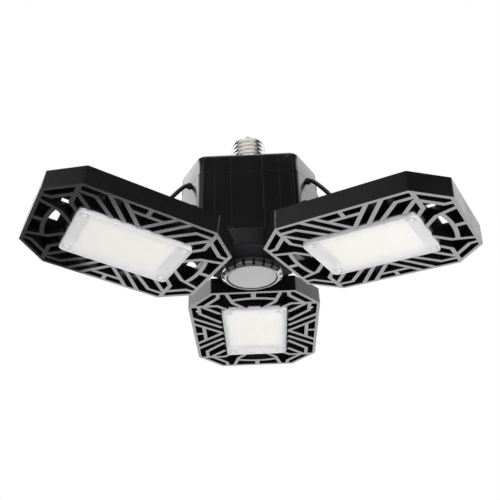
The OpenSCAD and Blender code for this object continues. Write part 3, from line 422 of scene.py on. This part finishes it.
# %% Spin the thread and cut it level
THREAD_SIDES = 64
THREAD_WELD = 0.005 * MM
bm = bmesh.new()
thread_span = CURL_FOOT - SKIRT_TOP
turns = math.ceil(thread_span / PITCH) + 2
profile = [bm.verts.new(p + Vector((0, 0, SKIRT_TOP - 2 * PITCH))) for p in wave_points()]
strip = [bm.edges.new(pair) for pair in zip(profile, profile[1:])]
bmesh.ops.spin(
    bm, geom=profile + strip, cent=(0, 0, 0), axis=(0, 0, 1), dvec=(0, 0, PITCH / THREAD_SIDES),
    angle=2 * math.pi * turns, steps=THREAD_SIDES * turns, use_merge=False,
)
bmesh.ops.remove_doubles(bm, verts=bm.verts, dist=THREAD_WELD)
foot_rim = level_cut(bm, SKIRT_TOP, False)
top_rim = level_cut(bm, CURL_FOOT, True)
print("rims", len(foot_rim), len(top_rim))

# %% [markdown]
# Below the thread the sheet runs out to a plain skirt, turns in under a small radius and goes back
# up inside. Above it the sheet curls in over the insulator. Each is a row of rings, given by a
# radius and a height, that is drawn out of the cut rim in turn, and the two rows meet inside.

# %% Skirt, curl and inner wall
ROLL = 0.4 * MM
SKIRT_RINGS = [
    (ROOT_R, SKIRT_TOP - 0.3 * MM),
    (CREST_R - 0.3 * MM, SKIRT_TOP - 0.8 * MM),
    (CREST_R - 0.1 * MM, SHELL_FOOT + ROLL),
    (CREST_R - ROLL, SHELL_FOOT),
    (BORE_R + ROLL, SHELL_FOOT),
    (BORE_R, SHELL_FOOT + ROLL),
]
CURL_RINGS = [
    (ROOT_R, CURL_FOOT + 0.2 * MM),
    (ROOT_R - 0.2 * MM, CURL_FOOT + 0.9 * MM),
    (ROOT_R - 0.9 * MM, SHELL_TOP - 0.3 * MM),
    (ROOT_R - 1.6 * MM, SHELL_TOP),
    (BORE_R - CURL_W, SHELL_TOP - 0.1 * MM),
    (BORE_R - CURL_W, SHELL_TOP - 0.5 * MM),
    (BORE_R - 0.6 * MM, CURL_FOOT),
]
inner_foot = foot_rim
for radius, height in SKIRT_RINGS:
    inner_foot = grow_ring(bm, inner_foot, radius, height)
inner_top = top_rim
for radius, height in CURL_RINGS:
    inner_top = grow_ring(bm, inner_top, radius, height)
bmesh.ops.bridge_loops(bm, edges=inner_foot + inner_top)
print("rims met", len(inner_foot), len(inner_top))

# %% Make the shell
SHEET_FOLD_ANGLE = math.radians(50)
bmesh.ops.remove_doubles(bm, verts=bm.verts, dist=MERGE_DISTANCE)
bmesh.ops.recalc_face_normals(bm, faces=bm.faces)
for edge in bm.edges:
    edge.smooth = edge.calc_face_angle(0) < SHEET_FOLD_ANGLE
for face in bm.faces:
    face.smooth = True
shell_mesh = bpy.data.meshes.new("thread_shell")
bm.to_mesh(shell_mesh)
open_edges = sum(edge.is_boundary for edge in bm.edges)
bm.free()
shell = bpy.data.objects.new("thread_shell", shell_mesh)
scene.collection.objects.link(shell)
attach(shell, "housing")
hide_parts("screw_shell")
print("shell faces", len(shell_mesh.polygons), "open edges", open_edges)

# %% [markdown]
# Each finish is a small node tree. It could be a painted image, but a few nodes stay sharp from
# near. Noise on Object coordinates varies the colour and the roughness a little, and a finer noise
# gives the bump, so that a moulding shows its faint orange peel and a casting its grain. What is
# the same all over a surface is set on the shader's own socket.

# %% A new tree, and noise in it
def node_tree(name):
    mat = bpy.data.materials.new(name)
    mat.use_nodes = True
    tree = mat.node_tree
    return mat, tree.nodes, tree.links, tree.nodes["Principled BSDF"]


def mapped(nodes, links, source, scale):
    mapping = nodes.new("ShaderNodeMapping")
    mapping.inputs["Scale"].default_value = scale
    links.new(source, mapping.inputs["Vector"])
    return mapping.outputs["Vector"]


def noise(nodes, links, vector, scale, detail=3.0):
    texture = nodes.new("ShaderNodeTexNoise")
    texture.inputs["Scale"].default_value = scale
    texture.inputs["Detail"].default_value = detail
    links.new(vector, texture.inputs["Vector"])
    return texture.outputs["Fac"]


# %% Helpers that turn noise into a look
def ranged(nodes, links, source, low, high, start=0.3, stop=0.7):
    """The source's stretch from start to stop, made to run from low to high."""
    remap = nodes.new("ShaderNodeMapRange")
    for socket, value in zip(("From Min", "From Max", "To Min", "To Max"), (start, stop, low, high)):
        remap.inputs[socket].default_value = value
    links.new(source, remap.inputs["Value"])
    return remap.outputs["Result"]


def mixed(nodes, links, factor, first, second):
    """A colour between two, each a colour or a socket."""
    mix = nodes.new("ShaderNodeMix")
    mix.data_type = "RGBA"
    links.new(factor, mix.inputs["Factor"])
    for socket, colour in ((mix.inputs[6], first), (mix.inputs[7], second)):
        if isinstance(colour, tuple):
            socket.default_value = (*colour, 1)
        else:
            links.new(colour, socket)
    return mix.outputs[2]


def bumped(nodes, links, bsdf, height, depth):
    bump = nodes.new("ShaderNodeBump")
    bump.inputs["Distance"].default_value = depth
    bump.inputs["Strength"].default_value = 1.0
    links.new(height, bump.inputs["Height"])
    links.new(bump.outputs["Normal"], bsdf.inputs["Normal"])


# %% A finish with grain
ROUGH_SPREAD = 0.05
COAT_ROUGHNESS = 0.1


def finish(name, colour, rough, grain, metal=0.0, spread=0.15, depth=0.00002,
           coat=0.0, patch=30.0):
    """A finish: colour and roughness vary in broad patches, and fine grain makes the bump."""
    mat, tree_nodes, links, bsdf = node_tree(name)
    place = tree_nodes.new("ShaderNodeTexCoord").outputs["Object"]
    broad = noise(tree_nodes, links, place, patch)
    fine = noise(tree_nodes, links, place, grain, 2.0)
    dark = tuple(c * (1 - spread) for c in colour)
    light = tuple(min(c * (1 + spread), 1) for c in colour)
    links.new(mixed(tree_nodes, links, broad, dark, light), bsdf.inputs["Base Color"])
    links.new(
        ranged(tree_nodes, links, broad, rough - ROUGH_SPREAD, rough + ROUGH_SPREAD),
        bsdf.inputs["Roughness"],
    )
    bumped(tree_nodes, links, bsdf, fine, depth)
    bsdf.inputs["Metallic"].default_value = metal
    bsdf.inputs["Coat Weight"].default_value = coat
    bsdf.inputs["Coat Roughness"].default_value = COAT_ROUGHNESS
    return mat


# %% [markdown]
# The record names twenty finishes. All but the lens's differ only in colour, gloss and grain, so
# one table holds them: the glossy black mouldings, the cast panels, nickel, steel, board and wire.
# The last four rows are for single faces and for the hub. The hub's neck and the housing's underside
# are duller than the housing and painted a lighter grey, a painted sheen; the lens's narrow side is
# frosted white; and the walls of the hub's slots and the seam are painted dead black, a painted shade.

# %% The plain finishes
FINISHES = {
    "gloss_black": dict(
        colour=(0.006, 0.006, 0.007), rough=0.2, grain=260, depth=0.000012, coat=0.3),
    "panel_black": dict(colour=(0.005, 0.0045, 0.0045), rough=0.28, grain=1500, depth=0.00003),
    "hinge_black": dict(colour=(0.012, 0.012, 0.013), rough=0.4, grain=1800, depth=0.00005),
    "bracket_steel": dict(colour=(0.012, 0.012, 0.014), rough=0.35, grain=2200, depth=0.00003),
    "nickel": dict(
        colour=(0.9, 0.86, 0.8), rough=0.2, metal=1.0, grain=900, depth=0.00001, spread=0.05),
    "insulator": dict(colour=(0.02, 0.02, 0.022), rough=0.3, grain=700),
    "bright_aluminium": dict(
        colour=(0.86, 0.86, 0.87), rough=0.13, metal=1.0, spread=0.03, grain=2500, depth=0.00001),
    "satin_aluminium": dict(
        colour=(0.86, 0.86, 0.86), rough=0.5, metal=0.8, spread=0.05, grain=3500, depth=0.00004,
        patch=60),
    "screw_steel": dict(colour=(0.8, 0.8, 0.81), rough=0.45, metal=0.4, grain=1500),
    "board_white": dict(colour=(0.82, 0.82, 0.8), rough=0.4, spread=0.03, grain=900),
    "led_phosphor": dict(
        colour=(0.92, 0.78, 0.2), rough=0.5, spread=0.08, grain=2500, depth=0.00003),
    "circuit_board": dict(colour=(0.02, 0.14, 0.05), rough=0.35, grain=800, spread=0.25),
    "ferrite": dict(colour=(0.045, 0.04, 0.036), rough=0.7, grain=1800, depth=0.00006),
    "capacitor_can": dict(colour=(0.02, 0.024, 0.04), rough=0.35, grain=900, spread=0.2),
    "component_black": dict(colour=(0.015, 0.015, 0.015), rough=0.55, grain=2000),
    "wire_red": dict(colour=(0.35, 0.02, 0.015), rough=0.45, grain=900),
    "lead_black": dict(colour=(0.01, 0.01, 0.01), rough=0.42, grain=1500, depth=0.00003),
    "black_rubber": dict(colour=(0.01, 0.01, 0.01), rough=0.6, grain=1800, depth=0.00004),
    "washer_nylon": dict(colour=(0.7, 0.68, 0.6), rough=0.5, grain=1200),
    # Duller, and painted a lighter grey than the housing's black: a painted sheen on the hub's neck.
    "hub_sheen_black": dict(colour=(0.036, 0.036, 0.039), rough=0.34, grain=700),
    # Duller, and painted a lighter grey than the housing's black: a painted sheen on the underside.
    "underside_sheen_black": dict(colour=(0.03, 0.03, 0.032), rough=0.42, grain=500),
    "lens_wall": dict(colour=(0.8, 0.8, 0.82), rough=0.35, spread=0.04, grain=500),
    # Dead black painted on the walls of the hub's slots and the seam gap: painted shade.
    "painted_shade_black": dict(colour=(0.003, 0.003, 0.003), rough=0.8, grain=900),
}
materials = {name: finish(name, **facts) for name, facts in FINISHES.items()}
print("finishes", len(materials))

# %% [markdown]
# Two finishes follow a panel's own directions: the brushed face and the lens. Object coordinates
# run with the lamp and not with a turned panel, so these pieces get a UV map in the panel's
# frame, one unit a millimetre. It could be unwrapped by hand, but the panel's matrix gives it at
# once and exactly.

# %% UV maps in the panels' frames
def panel_uv(piece, side):
    into_panel = (panel_frame(side) @ Matrix.Translation((PANEL_MIDDLE, 0, 0))).inverted()
    layer = piece.data.uv_layers.new(name="panel_mm")
    for loop in piece.data.loops:
        place = into_panel @ piece.data.vertices[loop.vertex_index].co
        layer.data[loop.index].uv = (place.x / MM, place.y / MM)


def uv_source(tree_nodes):
    source = tree_nodes.new("ShaderNodeUVMap")
    source.uv_map = "panel_mm"
    return source.outputs["UV"]


# %% [markdown]
# The grille's lower face is bare metal with fine strokes along the panel. They could be modelled or
# drawn, but noise that is stretched far more one way than the other looks like brushing. It
# drives the roughness and a shallow bump, and a second, broad noise varies the shade.

# %% The brushed grille face
STROKE_SCALE = (0.08, 3.0, 1)
PATCH_SCALE = (0.05, 0.05, 1)
BARE_SHADES = (0.54, 0.54, 0.545), (0.64, 0.64, 0.645)
SHALLOW = 0.02 * MM


def brushed_face():
    mat, tree_nodes, links, bsdf = node_tree("panel_silver")
    place = uv_source(tree_nodes)
    strokes = noise(tree_nodes, links, mapped(tree_nodes, links, place, STROKE_SCALE), 1.0, 4.0)
    patches = noise(tree_nodes, links, mapped(tree_nodes, links, place, PATCH_SCALE), 1.0)
    colour = mixed(tree_nodes, links, patches, *BARE_SHADES)
    links.new(colour, bsdf.inputs["Base Color"])
    links.new(ranged(tree_nodes, links, strokes, 0.08, 0.15), bsdf.inputs["Roughness"])
    bumped(tree_nodes, links, bsdf, strokes, SHALLOW)
    bsdf.inputs["Metallic"].default_value = 1.0
    return mat


materials["panel_silver"] = brushed_face()
print("nodes in the brushed face", len(materials["panel_silver"].node_tree.nodes))

# %% [markdown]
# The lens is milky plastic over the board. Scattering inside it could be worked out in full, which
# is slow. A white surface that is partly see-through does as well here: the board and its warm
# LEDs show only as a soft tint. Towards its long edges it turns a little grey, as the
# photograph's lenses do; that grey is painted shade.

# %% The milky lens
LENS_CLEAR = 18.0
LENS_EDGE = 29.0
CLOUD_SCALE = (0.04, 0.04, 1)
LENS_COVER = 0.44
MILK_SHADES = (0.9, 0.9, 0.9), (0.93, 0.93, 0.93)
# The grey painted as shade towards the lens's long edges.
MILK_EDGE_SHADE = (0.7, 0.71, 0.73)


def milky_lens():
    mat, tree_nodes, links, bsdf = node_tree("milky_lens")
    place = uv_source(tree_nodes)
    clouds = noise(tree_nodes, links, mapped(tree_nodes, links, place, CLOUD_SCALE), 1.0)
    across = tree_nodes.new("ShaderNodeSeparateXYZ")
    links.new(place, across.inputs["Vector"])
    off_middle = tree_nodes.new("ShaderNodeMath")
    off_middle.operation = "ABSOLUTE"
    links.new(across.outputs["Y"], off_middle.inputs[0])
    off_middle = off_middle.outputs["Value"]
    # Painted shade: the lens's colour turns grey towards its long edges.
    edge_shade = ranged(tree_nodes, links, off_middle, 0.0, 1.0, LENS_CLEAR, LENS_EDGE)
    milk = mixed(tree_nodes, links, clouds, *MILK_SHADES)
    milk = mixed(tree_nodes, links, edge_shade, milk, MILK_EDGE_SHADE)
    links.new(milk, bsdf.inputs["Base Color"])
    links.new(ranged(tree_nodes, links, clouds, 0.3, 0.4), bsdf.inputs["Roughness"])
    bumped(tree_nodes, links, bsdf, clouds, SHALLOW)
    bsdf.inputs["Alpha"].default_value = LENS_COVER
    return mat


materials["milky_lens"] = milky_lens()
print("nodes in the milky lens", len(materials["milky_lens"].node_tree.nodes))

# %% [markdown]
# Every node wears the finish that the record names for it, and so do the softened copies, the leads
# and the shell. Only the hub's neck wears another one: it is duller than the housing's, and painted
# a lighter grey as a painted sheen.

# %% Give every piece its finish
for node, obj in nodes.items():
    obj.data.materials.clear()
    obj.data.materials.append(materials[slot_of_node[node]])
own_finish = {"hub_neck": "hub_sheen_black"}
for node, piece in soft.items():
    piece.data.materials.append(materials[own_finish.get(node, slot_of_node[node])])
for lead in leads.values():
    lead.data.materials.append(materials["lead_black"])
shell.data.materials.append(materials["nickel"])
print("dressed", len(nodes), "nodes and", len(soft) + len(leads) + 1, "other pieces")

# %% [markdown]
# Some faces of a moulding get a finish of their own. The walls in the gaps of the hub's slots and
# in the seam under the cover are painted dead black, a painted shade for the light that the gaps
# swallow, and the housing's underside is duller than its sides and painted a lighter grey, a
# painted sheen. A thin extra piece or a painted mask could show that. Here such faces are found by
# their place and direction and get a second finish, which needs no new piece.

# %% A second finish on some faces
def second_finish(piece, finish_name, chosen):
    """Gives the piece a second finish on the faces that the test picks out."""
    piece.data.materials.append(materials[finish_name])
    picked = [polygon for polygon in piece.data.polygons if chosen(polygon)]
    for polygon in picked:
        polygon.material_index = 1
    print(piece.name, "faces in", finish_name, len(picked))


# %% Slots, seam and underside
UPRIGHT = 0.1
NEARLY_UPRIGHT = 0.2
FACING_DOWN = -0.9
SLOT_SIDE = 0.7
ON_SURFACE = 0.1 * MM
SEAM_Z = -60.0 * MM
SEAM_GAP = 0.8 * MM
SLOT_TOP = -117.8 * MM
SLOT_R = 19.2 * MM
CROWN_R = 21.1 * MM


def in_slot(polygon):
    out = polygon.center.xy.length
    upright = abs(polygon.normal.z) < UPRIGHT
    facing_out = abs(polygon.normal.xy.normalized().dot(polygon.center.xy.normalized()))
    wall = facing_out < SLOT_SIDE or abs(out - SLOT_R) < ON_SURFACE
    in_crown = polygon.center.z < SLOT_TOP and SLOT_R - ON_SURFACE < out < CROWN_R
    return upright and in_crown and wall


def in_seam(polygon):
    upright = abs(polygon.normal.z) < NEARLY_UPRIGHT
    return upright and SEAM_Z < polygon.center.z < SEAM_Z + SEAM_GAP


def faces_down(polygon):
    return polygon.normal.z < FACING_DOWN


# The housing's underside: duller, and painted a lighter grey as a painted sheen.
second_finish(soft["driver_housing"], "underside_sheen_black", faces_down)
# The seam's and the slots' walls: dead black, a painted shade.
second_finish(soft["top_cover"], "painted_shade_black", in_seam)
second_finish(soft["hub_neck"], "painted_shade_black", in_slot)
second_finish(soft["bezel_ring"], "painted_shade_black", in_slot)

# %% [markdown]
# On a panel, the narrow side of the lens is plain frosted plastic with no board behind it, and the
# grille's lower face is bare metal while the rest of the frame is black. Both are found in the
# panel's own frame, because the panels are tilted.

# %% The lens's side and the bare grille face
LENS_SIDE = 0.3
FACE_LEVEL = 0.05 * MM
for side in PANELS:
    lens = soft["lens_" + side]
    upright = panel_frame(side).to_3x3() @ Vector((0, 0, 1))
    panel_uv(lens, side)
    second_finish(lens, "lens_wall", lambda face: abs(face.normal.dot(upright)) < LENS_SIDE)
    grille = soft["panel_frame_" + side]
    into_panel = panel_frame(side).inverted()
    panel_uv(grille, side)
    second_finish(
        grille, "panel_silver",
        lambda face: abs((into_panel @ face.center).z + FACE_BELOW_PIN) < FACE_LEVEL,
    )

# %% [markdown]
# The lamp hangs in a white studio. Black gloss shows only what it mirrors. A picture of a studio
# could light it, but single rectangles of light can each be put where one kind of face mirrors
# them into the camera: two left and two right for the housing's pale sides and the back panel's
# corners, weaker ones in front for its dark face and the right panel's long wall, and one behind
# and below for the bare grilles and the disc. A soft fill from below, which no mirror shows,
# whitens the lenses.

# %% A light seen from the lamp in a direction
def area_light(name, place, aim, size, radiance):
    light = bpy.data.lights.new(name, "AREA")
    light.shape = "RECTANGLE"
    light.size, light.size_y = size
    light.energy = radiance * math.pi * size[0] * size[1]
    lamp = bpy.data.objects.new(name, light)
    lamp.location = place
    lamp.rotation_mode = "QUATERNION"
    lamp.rotation_quaternion = (Vector(aim) - Vector(place)).to_track_quat("-Z", "Y")
    lamp.visible_camera = False
    scene.collection.objects.link(lamp)
    return lamp


MIDDLE = Vector((0, 0, -0.08))
LIGHT_DISTANCE = 1.5


def light_from(name, azimuth, elevation, wide, high, radiance, distance=LIGHT_DISTANCE):
    """A rectangle of light seen from the lamp in that direction, its spread given in degrees."""
    turn, rise = math.radians(azimuth), math.radians(elevation)
    way = Vector((math.cos(turn) * math.cos(rise), math.sin(turn) * math.cos(rise), math.sin(rise)))
    size = [2 * distance * math.tan(math.radians(spread) / 2) for spread in (wide, high)]
    return area_light(name, MIDDLE + way * distance, MIDDLE, size, radiance)


# %% [markdown]
# Each row gives a light's azimuth and elevation as seen from the lamp, its width and height, all
# in degrees, and its radiance. The fill stands nearer than the rest, so its row ends with a
# distance in metres. The sky light is a little blue, as the shine on the right panel's wall is
# in the photograph.

# %% The lights
LIGHTS = {
    "far_left": (172, 31, 28, 26, 3.3),
    "near_left": (142, 34, 26, 26, 1.9),
    "far_right": (8, 31, 28, 26, 1.4),
    "near_right": (34, 33, 22, 26, 1.45),
    "sky_right": (56, 36, 16, 14, 0.5),
    "front_left": (-148, 30, 34, 18, 0.45),
    "front_low": (-106, 20, 52, 17, 0.18),
    "front_high": (-90, 63, 50, 24, 1.3),
    "front_card": (-90, -12, 120, 40, 0.9),
    "card_below": (81, -31, 65, 30, 0.54),
    "overhead": (90, 80, 40, 40, 2.0),
    "fill_below": (-30, -58, 60, 60, 3.7, 1.1),
}
lamps = {name: light_from(name, *facts) for name, facts in LIGHTS.items()}
lamps["sky_right"].data.color = (0.82, 0.9, 1.0)
lamps["fill_below"].visible_glossy = False
print("lights", len(lamps))

# %% [markdown]
# A pale floor lies well below the lamp and throws some light back up. To a mirror it is dark,
# because a white floor would show in every face that looks down. A second floor that only mirrors
# see could do that too, but the Light Path node does it with one.

# %% The floor
FLOOR_Z = -1.1
FLOOR_HALF = 4.0
FLOOR_ROUGH = 0.8
FLOOR_COLOUR, FLOOR_IN_MIRRORS = (0.8, 0.8, 0.8), (0.08, 0.08, 0.08)
bm = bmesh.new()
bmesh.ops.create_grid(bm, x_segments=8, y_segments=8, size=FLOOR_HALF)
bmesh.ops.translate(bm, verts=bm.verts, vec=(0, 0, FLOOR_Z))
floor_mesh = bpy.data.meshes.new("floor")
bm.to_mesh(floor_mesh)
bm.free()
floor = bpy.data.objects.new("floor", floor_mesh)
scene.collection.objects.link(floor)
floor_mat, floor_nodes, floor_links, floor_bsdf = node_tree("pale_floor")
floor_bsdf.inputs["Roughness"].default_value = FLOOR_ROUGH
floor_path = floor_nodes.new("ShaderNodeLightPath")
mirrored = floor_path.outputs["Is Glossy Ray"]
floor_colour = mixed(floor_nodes, floor_links, mirrored, FLOOR_COLOUR, FLOOR_IN_MIRRORS)
floor_links.new(floor_colour, floor_bsdf.inputs["Base Color"])
floor_mesh.materials.append(floor_mat)
print("floor at", FLOOR_Z, "m")

# %% [markdown]
# The world is white to the camera. A mirror sees it white only in a band round the horizon at the
# back, as a backdrop would be, and nearly black elsewhere, so that black gloss stays black. For
# scattered light it is a dim even glow. It could be a picture of a room; a direction and a few
# ranges are enough for a band.

# %% The bright band at the back
BACK_FROM, BACK_FULL = -0.1, 0.5
LOW_END, LOW_FULL = -0.3, -0.15
HIGH_FULL, HIGH_END = 0.15, 0.58
world = bpy.data.worlds.new("studio")
world.use_nodes = True
scene.world = world
w_nodes, w_links = world.node_tree.nodes, world.node_tree.links


def w_math(operation, first, second):
    node = w_nodes.new("ShaderNodeMath")
    node.operation = operation
    for socket, value in zip(node.inputs, (first, second)):
        if isinstance(value, float):
            socket.default_value = value
        else:
            w_links.new(value, socket)
    return node.outputs["Value"]


split = w_nodes.new("ShaderNodeSeparateXYZ")
w_links.new(w_nodes.new("ShaderNodeTexCoord").outputs["Generated"], split.inputs["Vector"])
to_back = ranged(w_nodes, w_links, split.outputs["Y"], 0.0, 1.0, BACK_FROM, BACK_FULL)
not_low = ranged(w_nodes, w_links, split.outputs["Z"], 0.0, 1.0, LOW_END, LOW_FULL)
not_high = ranged(w_nodes, w_links, split.outputs["Z"], 1.0, 0.0, HIGH_FULL, HIGH_END)
band = w_math("MULTIPLY", to_back, w_math("MULTIPLY", not_low, not_high))
print("nodes for the band", len(w_nodes))

# %% [markdown]
# The Light Path node tells which kind of ray asks for the world's colour: one from the camera, one
# that comes off a mirror or through glass, or one that gathers scattered light. Each kind gets a
# strength of its own, so that one world serves them all.

# %% Which ray sees how much of the world
GLOW, LEAST_GLOW = 0.45, 0.04
path = w_nodes.new("ShaderNodeLightPath").outputs
mirror = w_math("MAXIMUM", path["Is Glossy Ray"], path["Is Transmission Ray"])
seen = w_math("MAXIMUM", path["Is Camera Ray"], w_math("MULTIPLY", mirror, band))
glow = w_math("MULTIPLY", w_math("SUBTRACT", 1.0, mirror), GLOW)
strength = w_math("MAXIMUM", seen, w_math("ADD", glow, LEAST_GLOW))
background = w_nodes["Background"]
background.inputs["Color"].default_value = (1, 1, 1, 1)
w_links.new(strength, background.inputs["Strength"])
scene.view_settings.view_transform = "Standard"
print("world nodes", len(w_nodes))
